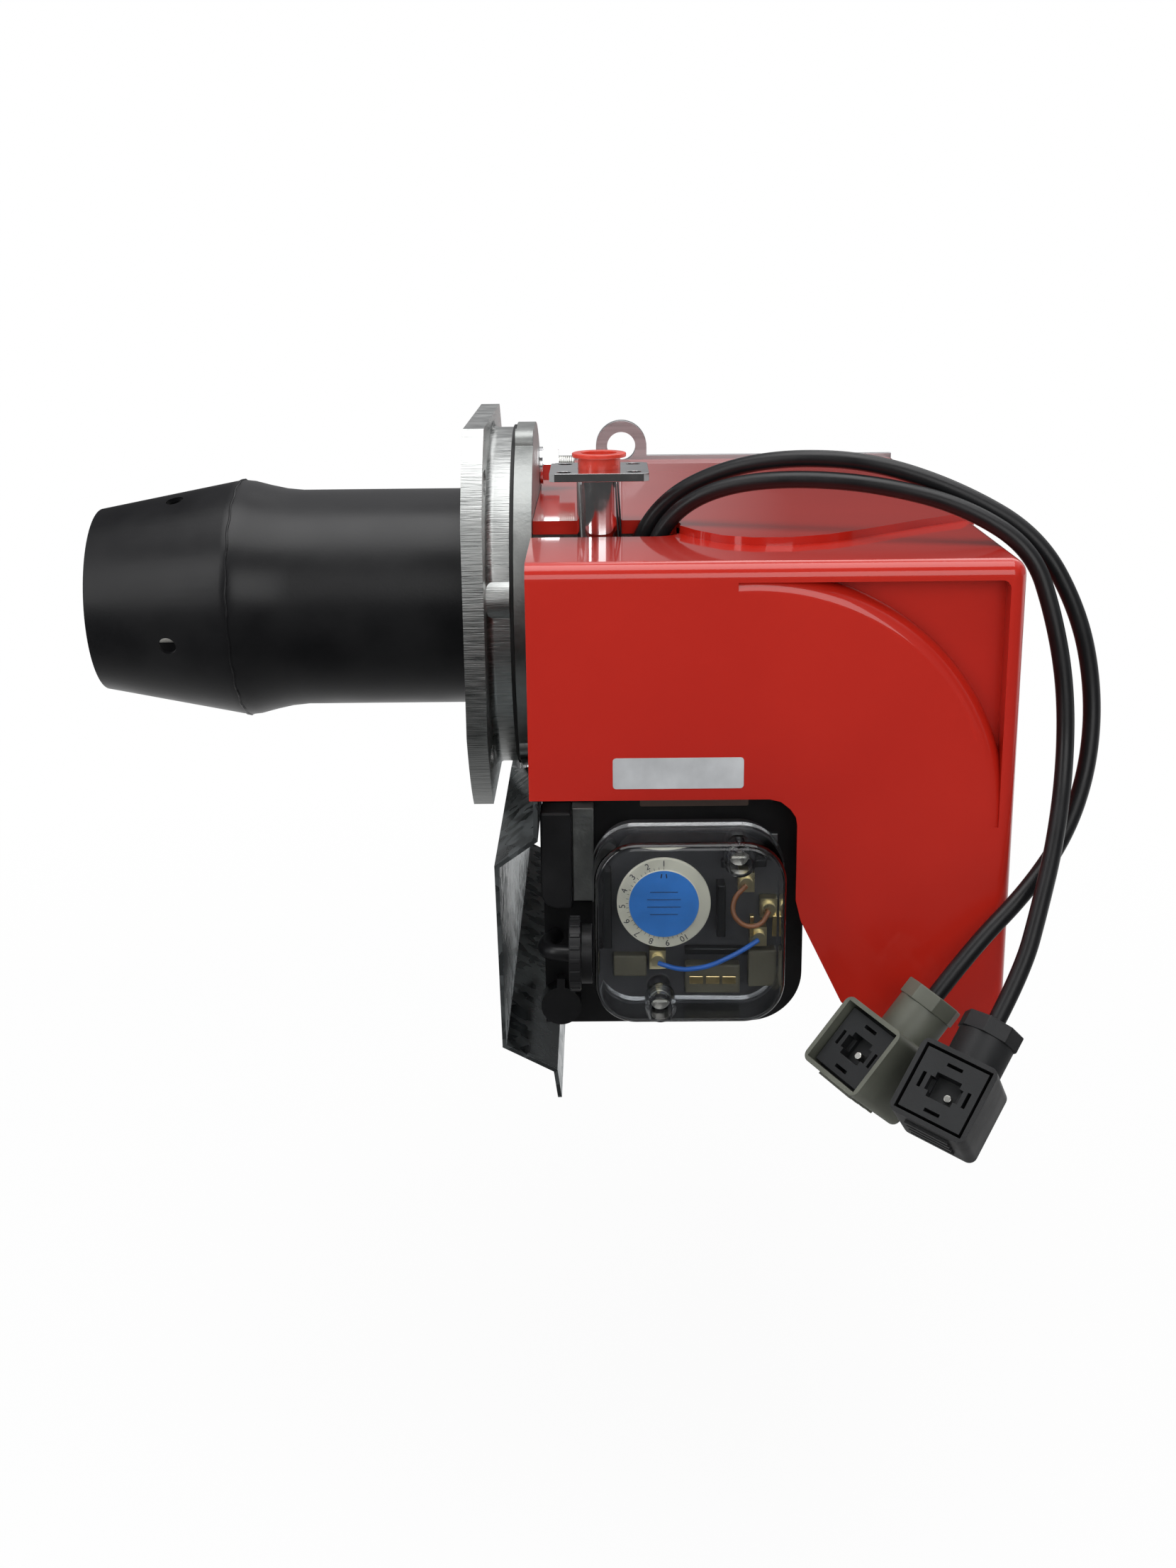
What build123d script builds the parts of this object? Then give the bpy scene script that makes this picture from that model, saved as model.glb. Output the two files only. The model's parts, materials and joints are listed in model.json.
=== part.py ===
from build123d import *
import os

os.makedirs("parts", exist_ok=True)

# Forced-draught gas burner. Millimetres, +Z up. The origin is the centre of the boiler flange's
# face, on the axis of the blast tube; the blast tube points to -X, the fan body is at +X.

# ---- driving dimensions ----
TUBE_R = 45.0
TUBE_SEAT_R = 44.8
TUBE_WALL = 2.0
TUBE_TIP_X = -157.0
TUBE_TIP_R = 38.0
TUBE_RING_X = -97.0
TUBE_RING_R = 49.4
FLANGE_T = 8.0
HUB_X = 17.0
GASKET_X = 18.5
BODY_X = 25.8
BODY_R = 72.0
STUD_R = 4.0
STUD_PCR = 64.0
STUD_ANGLES = (51.0, 171.0, 291.0)
STUD_ENDS = (41.0, 35.0, 35.0)
PIPE_X = 52.0
PIPE_Y = -68.0
PIPE_R = 8.6
FAN_X = 110.0
FAN_Z = -60.0
COVER_T = 2.2
COVER_NEAR = -140.0
COVER_FAR = 150.0
COVER_REAR = 200.0
COVER_TOP = 36.5
STEP_TOP = 39.5
CORD_R = 3.2
SWITCH_X = 83.0
SWITCH_Z = -93.5
SWITCH_HALF = 34.0
DIAL_X = 74.0
DIAL_Z = -85.0
DAMPER_X = 36.0
DAMPER_Z = -133.0


# ---- helpers ----
def box(x0, x1, y0, y1, z0, z1):
    b = Box(x1 - x0, y1 - y0, z1 - z0)
    return Pos((x0 + x1) / 2, (y0 + y1) / 2, (z0 + z1) / 2) * b


def cx(r, x0, x1, y=0.0, z=0.0):
    return Pos((x0 + x1) / 2, y, z) * Rot(0, 90, 0) * Cylinder(r, x1 - x0)


def cy(r, y0, y1, x=0.0, z=0.0):
    return Pos(x, (y0 + y1) / 2, z) * Rot(90, 0, 0) * Cylinder(r, y1 - y0)


def cz(r, z0, z1, x=0.0, y=0.0):
    return Pos(x, y, (z0 + z1) / 2) * Cylinder(r, z1 - z0)


def prism_y(points, y0, y1):
    # polygon given as (x, z), extruded from y0 to y1
    face = make_face(Polyline(*[(p[0], y1, p[1]) for p in points], close=True))
    return extrude(face, amount=y1 - y0, dir=(0, -1, 0))


def prism_z(points, z0, z1):
    face = make_face(Polyline(*[(p[0], p[1], z0) for p in points], close=True))
    return extrude(face, amount=z1 - z0, dir=(0, 0, 1))


def revolve_x(points):
    # closed (x, r) outline turned about the X axis
    face = make_face(Polyline(*[(p[0], 0, p[1]) for p in points], close=True))
    return revolve(face, axis=Axis.X)


def hex_x(flat, x0, x1, y, z):
    h = Pos(x0, y, z) * Rot(0, 90, 0) * extrude(RegularPolygon(flat / 2, 6, major_radius=False), x1 - x0)
    return h


def rounded_y(x0, x1, y0, y1, z0, z1, r):
    # rounded rectangle in X and Z, extruded along Y
    s = extrude(RectangleRounded(x1 - x0, z1 - z0, r), y1 - y0)
    return Pos((x0 + x1) / 2, y1, (z0 + z1) / 2) * Rot(90, 0, 0) * s


def save(shape, node):
    export_step(shape, "parts/" + node + ".step")


# ---- blast tube and boiler flange ----
def blast_tube():
    outer = [(TUBE_TIP_X, TUBE_TIP_R), (-100.0, 48.9), (TUBE_RING_X, TUBE_RING_R), (-92.5, 48.9),
             (-86.0, 47.2), (-79.0, 45.7), (-72.0, TUBE_R), (-1.0, TUBE_R), (-1.0, TUBE_SEAT_R),
             (21.0, TUBE_SEAT_R)]
    inner = [(21.0, 43.0), (-72.0, 43.0), (-79.0, 43.7), (-86.0, 45.2), (-92.5, 46.9), (-97.0, 47.4),
             (-100.0, 46.9), (TUBE_TIP_X, TUBE_TIP_R - TUBE_WALL)]
    tube = revolve_x(outer + inner)
    for a in (15.0, 105.0, 195.0, 285.0):
        # air holes through the cone
        tool = Rot(a, 0, 0) * Pos(-123.0, -44.0, 0) * Rot(90, 0, 0) * Cylinder(3.6, 14.0)
        tube = tube - tool
    return tube


def mounting_flange():
    plate = box(0, FLANGE_T, -85, 85, -75, 75) & cx(94.0, -1, FLANGE_T + 1)
    hub = cx(70.0, FLANGE_T, HUB_X)
    body = plate + hub
    ring = body.edges().filter_by(GeomType.CIRCLE).filter_by(
        lambda e: abs(e.center().X - FLANGE_T) < 0.1 and abs(e.radius - 70.0) < 0.1)
    body = fillet(ring, 3.0)
    for a in STUD_ANGLES:
        boss = Rot(a - 90, 0, 0) * cx(9.0, FLANGE_T, HUB_X, 0, STUD_PCR)
        body = body + boss
    body = body - cx(TUBE_SEAT_R, -1, HUB_X + 1)
    for a in STUD_ANGLES:
        body = body - Rot(a - 90, 0, 0) * cx(STUD_R, 5.0, HUB_X + 1, 0, STUD_PCR)
    for y in (-60.0, 60.0):
        for z in (-55.0, 55.0):
            body = body - box(-1, FLANGE_T + 9, y - 4, y + 4, z - 4.5, z + 4.5)
            body = body - cx(4.5, -1, FLANGE_T + 9, y - 4, z)
            body = body - cx(4.5, -1, FLANGE_T + 9, y + 4, z)
    return body


def body_gasket():
    g = cx(71.0, HUB_X, GASKET_X) - cx(TUBE_SEAT_R, HUB_X - 1, GASKET_X + 1)
    for a in STUD_ANGLES:
        g = g - Rot(a - 90, 0, 0) * cx(STUD_R + 0.3, HUB_X - 1, GASKET_X + 1, 0, STUD_PCR)
    return g


def fan_housing():
    ring = cx(BODY_R, GASKET_X, BODY_X)
    duct = box(BODY_X - 1, 108, -48, 48, -51, 33)
    scroll = cy(74.0, -48, 48, FAN_X, FAN_Z)
    body = ring + duct + scroll
    for a in (20.0, 140.0, 260.0):
        # lugs between the stud bosses
        body = body + Rot(a, 0, 0) * cx(6.0, GASKET_X, BODY_X, 0, BODY_R - 2.0)
    body = body - cx(TUBE_SEAT_R, GASKET_X - 1, 21.5)
    opening = box(21, BODY_X + 1, -45, 45, -45, 30) & cx(44.0, 20, BODY_X + 2)
    body = body - opening
    body = body - box(BODY_X, 108, -45, 45, -48, 30)
    body = body - cy(71.0, -45, 45, FAN_X, FAN_Z)
    # suction eye towards the intake box, motor pilot hole on the other side
    body = body - cy(38.0, -49, -44, FAN_X, FAN_Z)
    body = body - cy(30.0, 44, 49, FAN_X, FAN_Z)
    # the gas pipe's hole
    body = body - cy(PIPE_R, -49, -44, PIPE_X, 0)
    for a in STUD_ANGLES:
        body = body - Rot(a - 90, 0, 0) * cx(STUD_R + 0.3, GASKET_X - 1, BODY_X + 1, 0, STUD_PCR)
    # short bracket arm that the cover screw goes into
    body = body + box(44, 60, 14, 30, 33, STEP_TOP - COVER_T)
    body = body - cz(1.6, 30.5, 40, 51.6, 22.0)
    return body


def studs():
    s = None
    for a, end in zip(STUD_ANGLES, STUD_ENDS):
        p = Rot(a - 90, 0, 0) * cx(STUD_R, 5.0, end, 0, STUD_PCR)
        s = p if s is None else s + p
    return s


def nuts():
    s = None
    for a in STUD_ANGLES:
        n = Rot(a - 90, 0, 0) * hex_x(13.0, BODY_X + 1.6, BODY_X + 8.4, 0, STUD_PCR)
        n = n & (Rot(a - 90, 0, 0) * Pos(BODY_X + 5, 0, STUD_PCR) * Sphere(8.0))
        n = n - Rot(a - 90, 0, 0) * cx(STUD_R, BODY_X, BODY_X + 10, 0, STUD_PCR)
        s = n if s is None else s + n
    return s


def washers():
    s = None
    for a in STUD_ANGLES:
        w = Rot(a - 90, 0, 0) * cx(8.0, BODY_X, BODY_X + 1.6, 0, STUD_PCR)
        w = w - Rot(a - 90, 0, 0) * cx(STUD_R, BODY_X - 1, BODY_X + 3, 0, STUD_PCR)
        s = w if s is None else s + w
    return s


# ---- gas line and firing head ----
def gas_pipe():
    p = cz(PIPE_R, 0, 58.0, PIPE_X, PIPE_Y)
    p = p + Pos(PIPE_X, PIPE_Y, 0) * Sphere(PIPE_R)
    p = p + cy(PIPE_R, PIPE_Y, -12.0, PIPE_X, 0)
    p = p - cz(6.3, 0, 59.0, PIPE_X, PIPE_Y)
    p = p - Pos(PIPE_X, PIPE_Y, 0) * Sphere(6.3)
    p = p - cy(6.3, PIPE_Y, -11.0, PIPE_X, 0)
    return p


def gas_flange():
    f = Pos(PIPE_X, PIPE_Y, 59.5) * Box(37, 37, 3)
    f = chamfer(f.edges().filter_by(Axis.Z), 2.0)
    f = f - cz(8.05, 57, 62, PIPE_X, PIPE_Y)
    for dx in (-13.0, 13.0):
        for dy in (-13.0, 13.0):
            f = f - cz(2.7, 57, 62, PIPE_X + dx, PIPE_Y + dy)
    return f


def gas_plug():
    p = cz(8.0, 58.3, 66.0, PIPE_X, PIPE_Y)
    p = p + cz(10.25, 65.2, 66.8, PIPE_X, PIPE_Y)
    p = p + cz(6.25, 48.0, 58.4, PIPE_X, PIPE_Y)
    p = p - cz(6.6, 60.0, 67.0, PIPE_X, PIPE_Y)
    p = p - cz(4.9, 49.5, 61.0, PIPE_X, PIPE_Y)
    return p


def gas_head():
    h = cx(12.0, 38, 64)
    h = h - cx(8.0, 30, 60)
    h = h - cy(6.3, -13, 0, PIPE_X, 0)
    pipe = cx(8.0, -108, 40) - cx(6.4, -109, 62)
    nose = cx(13.0, -126, -106) - cx(10.5, -124, -107.5)
    nose = nose - cx(6.4, -109, -105)
    for k in range(8):
        nose = nose - Rot(45 * k, 0, 0) * Pos(-115, 0, 12) * Cylinder(1.8, 6)
    h = h + pipe + nose
    # seat for the feed pipe
    h = h - cy(6.3, -13, 0, PIPE_X, 0)
    return h


def diffuser():
    d = cx(40.0, -119.0, -117.6) - cx(13.0, -120, -117)
    for k in range(12):
        slot = Rot(30 * k, 0, 0) * Pos(-118.3, 0, 25) * Rot(0, 0, 18) * Box(4, 1.6, 15)
        d = d - slot
    for k in range(12):
        d = d - Rot(30 * k + 15, 0, 0) * cx(1.4, -120, -117, 0, 36)
    d = d - cx(2.2, -120, -117, 0, 18) - cx(2.2, -120, -117, 0, -18)
    return d


def electrode_bracket():
    b = box(-84, -80, -7, 7, -24, 24)
    b = b - cx(8.0, -85, -79)
    b = b - cx(3.5, -85, -79, 0, 18) - cx(3.5, -85, -79, 0, -18)
    return b


def electrode(z, reach):
    # ceramic sleeve with its wire, which leaves through the disc
    e = cx(3.5, -108, -50, 0, z)
    e = e + cx(4.4, -62, -56, 0, z)
    e = e + cx(1.0, reach, -107, 0, z)
    e = e + cx(2.2, -51, -40, 0, z)
    return e


# ---- fan, motor ----
def fan_wheel():
    w = cy(60.0, 36.0, 38.0, FAN_X, FAN_Z)
    w = w + (cy(60.0, -38.0, -36.5, FAN_X, FAN_Z) - cy(42.0, -39, -36, FAN_X, FAN_Z))
    w = w + cy(12.0, 8.0, 36.5, FAN_X, FAN_Z)
    for k in range(24):
        blade = Pos(FAN_X, 0, FAN_Z) * Rot(0, 15 * k, 0) * Pos(52.5, -0.2, 0) * Rot(0, 35, 0) * Box(14, 73.6, 1.4)
        w = w + blade
    w = w & cy(60.0, -39, 39, FAN_X, FAN_Z)
    w = w - cy(6.0, 0, 40, FAN_X, FAN_Z)
    return w


def motor_shaft():
    s = cy(6.0, 4.0, 128.0, FAN_X, FAN_Z)
    s = s + cy(21.0, 66.0, 108.0, FAN_X, FAN_Z)
    return s


def motor_can():
    m = cy(36.0, 51.0, 118.0, FAN_X, FAN_Z) - cy(30.0, 54.0, 118.5, FAN_X, FAN_Z)
    m = m + cy(44.0, 48.0, 51.0, FAN_X, FAN_Z)
    m = m - cy(12.0, 47.0, 60.0, FAN_X, FAN_Z)
    for k in range(18):
        fin = Pos(FAN_X, 0, FAN_Z) * Rot(0, 20 * k, 0) * Pos(37.0, 84.0, 0) * Box(4.0, 62.0, 1.8)
        m = m + fin
    return m


def motor_stator():
    s = cy(30.0, 70.0, 104.0, FAN_X, FAN_Z) - cy(21.6, 69, 105, FAN_X, FAN_Z)
    s = s + (cy(28.0, 62.0, 112.0, FAN_X, FAN_Z) - cy(23.0, 61, 113, FAN_X, FAN_Z))
    return s


def motor_end_cap():
    c = cy(37.5, 118.0, 124.0, FAN_X, FAN_Z)
    c = c + cy(18.0, 124.0, 134.0, FAN_X, FAN_Z)
    c = c - cy(12.0, 116.0, 126.0, FAN_X, FAN_Z) - cy(8.0, 120.0, 131.0, FAN_X, FAN_Z)
    return c


def motor_bearings():
    a = cy(12.0, 50.0, 58.0, FAN_X, FAN_Z) - cy(6.05, 49, 59, FAN_X, FAN_Z)
    b = cy(12.0, 118.0, 126.0, FAN_X, FAN_Z) - cy(6.05, 117, 127, FAN_X, FAN_Z)
    return a + b


def bearing_spider():
    s = cy(30.0, 54.0, 57.0, FAN_X, FAN_Z) - cy(12.0, 53, 58, FAN_X, FAN_Z)
    for k in range(6):
        s = s - Pos(FAN_X, 55.5, FAN_Z) * Rot(0, 60 * k, 0) * Pos(21, 0, 0) * Rot(90, 0, 0) * Cylinder(5.5, 6)
    return s


def capacitor():
    c = cx(15.0, 60.0, 122.0, 70.0, -2.0)
    c = c + cx(6.0, 122.0, 127.0, 70.0, -2.0)
    return c


def capacitor_clip():
    c = cx(16.2, 86.0, 98.0, 70.0, -2.0) - cx(15.0, 85, 99, 70.0, -2.0)
    c = c + box(88, 96, 66, 74, -26, -17)
    c = c - cy(39.1, 50.0, 118.0, FAN_X, FAN_Z)
    return c


# ---- control gear ----
def control_plate():
    p = box(152, 192, 48, 50, -42, 12)
    p = p + box(152, 192, 50, 120, -42, -40)
    return p


def control_base():
    return box(154, 190, 60, 116, -40, -28)


def control_box():
    b = box(154, 190, 60, 116, -28, 12)
    b = fillet(b.edges().filter_by(Axis.Z), 3.0)
    b = b - cz(5.1, -6, 13, 172, 88)
    return b


def reset_button():
    b = cz(5.0, 2.0, 16.0, 172, 88)
    return b


def transformer():
    t = box(146, 190, -46, 44, -40, 4)
    t = t - cy(75.0, -49, 49, FAN_X, FAN_Z)
    t = t & box(146, 190, -46, 44, -40, 4)
    return t


# ---- cover and side plate ----
FACE = [(26, COVER_TOP), (26, -48.6), (112, -48.6), (116, -49.6), (119.5, -52.5), (121.5, -55.5),
        (122, -58.5), (122, -87), (124, -95), (139.5, -127), (165, -150), (COVER_REAR, -150),
        (COVER_REAR, COVER_TOP)]
STEP = [(20, -57), (76, -57), (80, -66), (88, -84), (97, -97), (108, -103), (122, -103), (136, -97),
        (152, -84), (176, -62), (COVER_REAR, -42), (COVER_REAR, COVER_FAR), (20, COVER_FAR)]


SCROLL_R = 93.0
POCKET_DEEP = 8.0


def pocket(grow, near, depth):
    # corner outside the raised scroll of the near face; the scroll's edge is well rounded
    drum = cy(SCROLL_R - grow, near, near + 30, 105, -60)
    drum = fillet(drum.edges().sort_by(Axis.Y)[:1], 7.5)
    block = box(100, 194.0 + grow / 2, near - 2, near + depth, -60, 29.5 + grow / 2)
    block = fillet(block.edges().filter_by(Axis.Y).filter_by(
        lambda e: e.center().X > 150 and e.center().Z > 0), 3.0)
    return block - drum


def cover():
    shell = prism_y(FACE, COVER_NEAR, COVER_FAR)
    shell = fillet(shell.edges().filter_by(Axis.X).sort_by(Axis.Z)[-2:].sort_by(Axis.Y)[:1], 6.0)
    rear = shell.edges().filter_by(lambda e: abs(e.center().X - COVER_REAR) < 0.5)
    corner = rear.filter_by(lambda e: abs(e.center().Y - COVER_NEAR) < 1.0)
    shell = fillet(corner, 5.5)
    edge = shell.edges().filter_by(Axis.Y).filter_by(
        lambda e: e.center().X > COVER_REAR - 0.5)
    shell = fillet(edge, 7.0)
    step = prism_z(STEP, 20.0, STEP_TOP) & box(26, COVER_REAR, -139, COVER_FAR, 10, 50)
    edge = step.edges().filter_by(Axis.Y).filter_by(
        lambda e: e.center().X > COVER_REAR - 0.5 and e.center().Z > 30)
    step = fillet(edge, 7.0)
    shell = shell + step
    shell = shell - pocket(0.0, COVER_NEAR, POCKET_DEEP)
    low = 34.3
    rear_in = COVER_REAR - COVER_T
    inner = [(10, low), (rear_in - 5, low), (rear_in, low - 5), (rear_in, -147.8), (165.5, -147.8),
             (165.5, -170), (10, -170)]
    cut = prism_y(inner, COVER_NEAR + COVER_T, COVER_FAR + 5)
    cut = cut - pocket(3.0, COVER_NEAR + COVER_T, POCKET_DEEP)
    lift = [(12, -54.8), (78, -54.8), (90, -81), (98.5, -94), (109, -100.5), (122, -100.5),
            (135, -94.8), (151, -81.5), (175, -59.5), (rear_in - 5, -39.5), (rear_in - 5, 160), (12, 160)]
    cut = cut + prism_z(lift, 30, STEP_TOP - COVER_T)
    shell = shell - cut
    # slot for the gas pipe and the cables, open at the front
    shell = shell - box(20, 72, -79, -57, 20, 45)
    shell = shell - cz(11.0, 20, 45, 72, -68)
    # screw hole
    shell = shell - cz(2.2, 30, 45, 51.6, 22.0)
    return shell


def cover_screw():
    s = cz(6.2, STEP_TOP, STEP_TOP + 1.0, 51.6, 22.0)
    head = cz(4.6, STEP_TOP + 1.0, STEP_TOP + 3.6, 51.6, 22.0)
    head = fillet(head.edges().sort_by(Axis.Z)[-1:], 1.4)
    s = s + head + cz(1.6, 31.0, STEP_TOP + 1.0, 51.6, 22.0)
    s = s - Pos(51.6, 22.0, STEP_TOP + 3.2) * Box(5.4, 1.2, 2.4)
    s = s - Pos(51.6, 22.0, STEP_TOP + 3.2) * Box(1.2, 5.4, 2.4)
    return s


def side_plate():
    p = box(28, 196, COVER_FAR, COVER_FAR + 3, -140, 41.5)
    p = p + box(50, 75, COVER_FAR, COVER_FAR + 6, 30, 46)
    p = p + cy(12.5, COVER_FAR, COVER_FAR + 6, 62.5, 46)
    p = p - cy(7.0, COVER_FAR - 1, COVER_FAR + 7, 62.5, 46)
    # boss on the motor's end cap
    p = p + cy(14.0, 134.0, COVER_FAR + 1, FAN_X, FAN_Z)
    for z in (-100.0, 10.0):
        for x in (40.0, 184.0):
            p = p - cy(2.2, COVER_FAR - 1, COVER_FAR + 4, x, z)
    return p


# ---- air intake ----
def intake_box():
    b = box(30, 127, -120, -48, -143, -51.0)
    b = fillet(b.edges().filter_by(Axis.Y).filter_by(lambda e: e.center().X > 100), 20.0)
    inner = box(20, 124, -117, -51, -140, -54.0)
    edge = inner.edges().filter_by(Axis.Y).filter_by(lambda e: e.center().X > 100)
    inner = fillet(edge, 17.0)
    b = b - inner
    b = b - cy(38.0, -52, -47, FAN_X, FAN_Z)
    # the eye reaches above the box, so a collar closes it to the scroll
    b = b - cy(74.5, -48.2, -40, FAN_X, FAN_Z)
    b = b - cy(3.05, -121, -47, DAMPER_X, DAMPER_Z)
    return b


def damper():
    d = box(DAMPER_X - 0.8, DAMPER_X + 0.8, -116.4, -51.6, DAMPER_Z, -56.0)
    d = d + cy(4.2, -116.4, -51.6, DAMPER_X, DAMPER_Z)
    d = d - cy(3.0, -118, -50, DAMPER_X, DAMPER_Z)
    return d


def damper_shaft():
    s = cy(3.0, -124.0, -48.4, DAMPER_X, DAMPER_Z)
    return s


def damper_knob():
    k = cy(7.5, -128.0, -120.4, DAMPER_X, DAMPER_Z)
    k = k + box(DAMPER_X - 1.5, DAMPER_X + 1.5, -128.0, -123.0, DAMPER_Z, DAMPER_Z + 11.0)
    k = k - cy(3.0, -124.0, -120.0, DAMPER_X, DAMPER_Z)
    return k


def deflector():
    front = [(27.6, -42.0), (27.2, -63.0), (12.9, -73.0), (14.2, -144.3), (33.1, -154.3), (34.5, -164.8)]
    back = [(29.1, -42.0), (28.8, -63.8), (14.5, -73.8), (15.7, -143.4), (34.5, -153.4), (36.0, -164.8)]
    s = prism_y(front + list(reversed(back)), COVER_NEAR, 100)
    # cleared round the air duct, the body's ring and the lower stud's nut
    s = s - box(20, 40, -49, 49, -51.9, -40)
    s = s - cx(BODY_R + 1.5, 5, 27.1)
    s = s - box(20, 40, COVER_NEAR - 1, COVER_NEAR + COVER_T + 0.4, -48.9, -40)
    s = s - box(20, 40, 12, 34, -70, -50)
    s = s - cx(2.2, 20, 40, -90, -58) - cx(2.2, 20, 40, -56, -58)
    return s


def deflector_spacer():
    # folded tab that carries the deflector on the intake box
    s = box(29.1, 30.0, -98, -50, -62.5, -51.5)
    s = s - cx(2.2, 20, 40, -90, -58) - cx(2.2, 20, 40, -56, -58)
    return s


def deflector_screws():
    s = None
    for y in (-90.0, -56.0):
        b = cx(2.2, 27.4, 30.0, y, -58) + cx(4.2, 24.4, 27.2, y, -58)
        s = b if s is None else s + b
    return s


# ---- air pressure switch ----
def switch_base():
    b = rounded_y(SWITCH_X - 33, SWITCH_X + 33, -134.5, -124.0, SWITCH_Z - 33, SWITCH_Z + 33, 14.0)
    b = b + cy(20.0, -124.0, -121.6, SWITCH_X + 8, SWITCH_Z)
    # block under the dial, and the two screw pillars
    b = b + cy(12.0, -142.0, -134.5, DIAL_X, DIAL_Z)
    b = b - cy(4.05, -143.0, -136.0, DIAL_X, DIAL_Z)
    b = b + cy(4.0, -146.0, -134.5, 100.5, -66.5)
    b = b + cy(4.0, -146.0, -134.5, 72.5, -121.5)
    return b


def switch_cover():
    a = SWITCH_HALF
    c = rounded_y(SWITCH_X - a, SWITCH_X + a, -158.0, -134.5, SWITCH_Z - a, SWITCH_Z + a, 15.0)
    c = fillet(c.edges().group_by(Axis.Y)[0], 3.0)
    hollow = rounded_y(SWITCH_X - a + 1.6, SWITCH_X + a - 1.6, -156.2, -130, SWITCH_Z - a + 1.6,
                       SWITCH_Z + a - 1.6, 13.4)
    c = c - hollow
    rim = rounded_y(SWITCH_X - a - 0.8, SWITCH_X + a + 0.8, -138.5, -134.5, SWITCH_Z - a - 0.8,
                    SWITCH_Z + a + 0.8, 15.8)
    c = c + (rim - hollow)
    # screw towers, open to the front
    for x, z in ((100.5, -66.5), (72.5, -121.5)):
        c = c + (cy(5.6, -157.0, -146.0, x, z) - cy(4.2, -159.0, -147.4, x, z))
        c = c - cy(4.2, -159.0, -147.4, x, z)
    c = c - cy(1.7, -150, -145.0, 100.5, -66.5) - cy(1.7, -150, -145.0, 72.5, -121.5)
    return c


def switch_dial():
    d = cy(16.8, -147.0, -145.0, DIAL_X, DIAL_Z)
    d = d + cy(12.6, -147.6, -147.0, DIAL_X, DIAL_Z)
    d = d + cy(7.0, -145.0, -142.3, DIAL_X, DIAL_Z)
    d = d + cy(4.0, -145.0, -137.0, DIAL_X, DIAL_Z)
    d = d - Pos(DIAL_X, -147.5, DIAL_Z) * Box(1.4, 1.2, 9.0)
    return d


def switch_screws():
    s = None
    for x, z in ((100.5, -66.5), (72.5, -121.5)):
        b = cy(3.4, -150.4, -147.4, x, z) + cy(1.6, -148, -146.0, x, z)
        b = b - Pos(x, -150.4, z) * Box(5.0, 1.6, 0.9)
        s = b if s is None else s + b
    return s


def switch_terminals():
    s = None
    for x, z in ((104.0, -80.0), (112.0, -90.0), (72.0, -109.5), (108.5, -101.0)):
        p = box(x - 3, x + 3, -139.5, -134.5, z - 3.6, z + 3.6) + cy(2.4, -141.5, -139.4, x, z)
        s = p if s is None else s + p
    return s


def tube_along(points, r):
    # straight runs with tangent arcs, the radius taken from the shorter run at each corner
    import math
    radii = []
    for i in range(1, len(points) - 1):
        a = Vector(*points[i]) - Vector(*points[i - 1])
        b = Vector(*points[i + 1]) - Vector(*points[i])
        turn = math.radians(a.get_angle(b))
        radii.append(0.45 * min(a.length, b.length) / math.tan(turn / 2))
    path = FilletPolyline(*points, radius=radii)
    start = Plane(path @ 0, z_dir=path % 0)
    solid = sweep(start * Circle(r), path=path)
    print("cord", "length", round(path.length, 1), "least radius", round(min(radii), 1),
          "volume ratio", round(solid.volume / (path.length * math.pi * r * r), 4))
    return solid


BLUE_WIRE = [(72, -142.4, -109.5), (80, -144, -112.0), (90, -146, -110.0), (100, -145, -105.5),
             (108.5, -142.4, -101.0)]
BROWN_WIRE = [(104, -142.4, -80), (99.5, -143.5, -84), (98.5, -145, -90), (103, -146, -94.5),
              (109, -145, -94.5), (112, -142.4, -90)]


def switch_gland():
    g = cx(11.0, 44.0, 48.2, -140, -107) + cx(13.5, 39.6, 44.0, -140, -107)
    g = g - cx(3.0, 30.0, 44.0, -140, -107)
    return g


SWITCH_CORD = [(44, -140, -107), (38, -140, -107), (33, -138.5, -107), (30.5, -134, -107),
               (31.0, -128.5, -107), (33.0, -124.5, -107), (34.5, -121.0, -107)]


def switch_cable_stub():
    return tube_along(SWITCH_CORD, 3.0)


def switch_bracket():
    # plate between the switch and the intake box
    return box(SWITCH_X - 20, SWITCH_X + 34, -121.6, -120.0, SWITCH_Z - 26, SWITCH_Z + 26)


# ---- mains socket ----
def mains_socket():
    s = box(29.5, 41, -134, -120, -92, -55)
    s = fillet(s.edges().filter_by(Axis.Y).filter_by(lambda e: e.center().Z < -80 and e.center().X < 30), 6.0)
    return s


def socket_casting():
    c = box(41, 49, -128, -120, -91, -55)
    return c


# ---- cables and valve plugs ----
INNER = [(68, -64, 14), (72, -66, 32), (83, -70, 47), (101, -76, 55.5), (126, -85, 58.5),
         (155, -95, 57), (184, -103, 50), (207.5, -110, 35.5), (215, -117, 12), (219.5, -122, -13),
         (219.5, -128, -40), (214, -143, -64), (206.5, -156, -85), (199.1, -167.4, -104.0),
         (187.7, -177.4, -120.6)]
OUTER = [(60, -58, 12), (66, -60.5, 32), (78, -62, 49), (98, -69, 60), (122, -79, 65.5),
         (152, -90, 65), (183, -97, 55), (211, -103, 39), (226, -109, 12), (232, -113, -16),
         (230, -121, -42), (221, -131, -65), (205, -143, -83), (184.1, -153.3, -100.6),
         (169.3, -159.1, -118.5)]
GREY_FACE = Vector(138.4, -178.0, -127.0)
GREY_N = Vector(-0.560, -0.534, 0.634)
GREY_V = Vector(0.619, 0.239, 0.748)
BLACK_FACE = Vector(165.4, -207.2, -129.9)
BLACK_N = Vector(-0.287, -0.720, 0.632)
BLACK_V = Vector(0.508, 0.444, 0.738)


PLUG_DEEP = 33.0
GLAND_DEEP = 22.0


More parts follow.
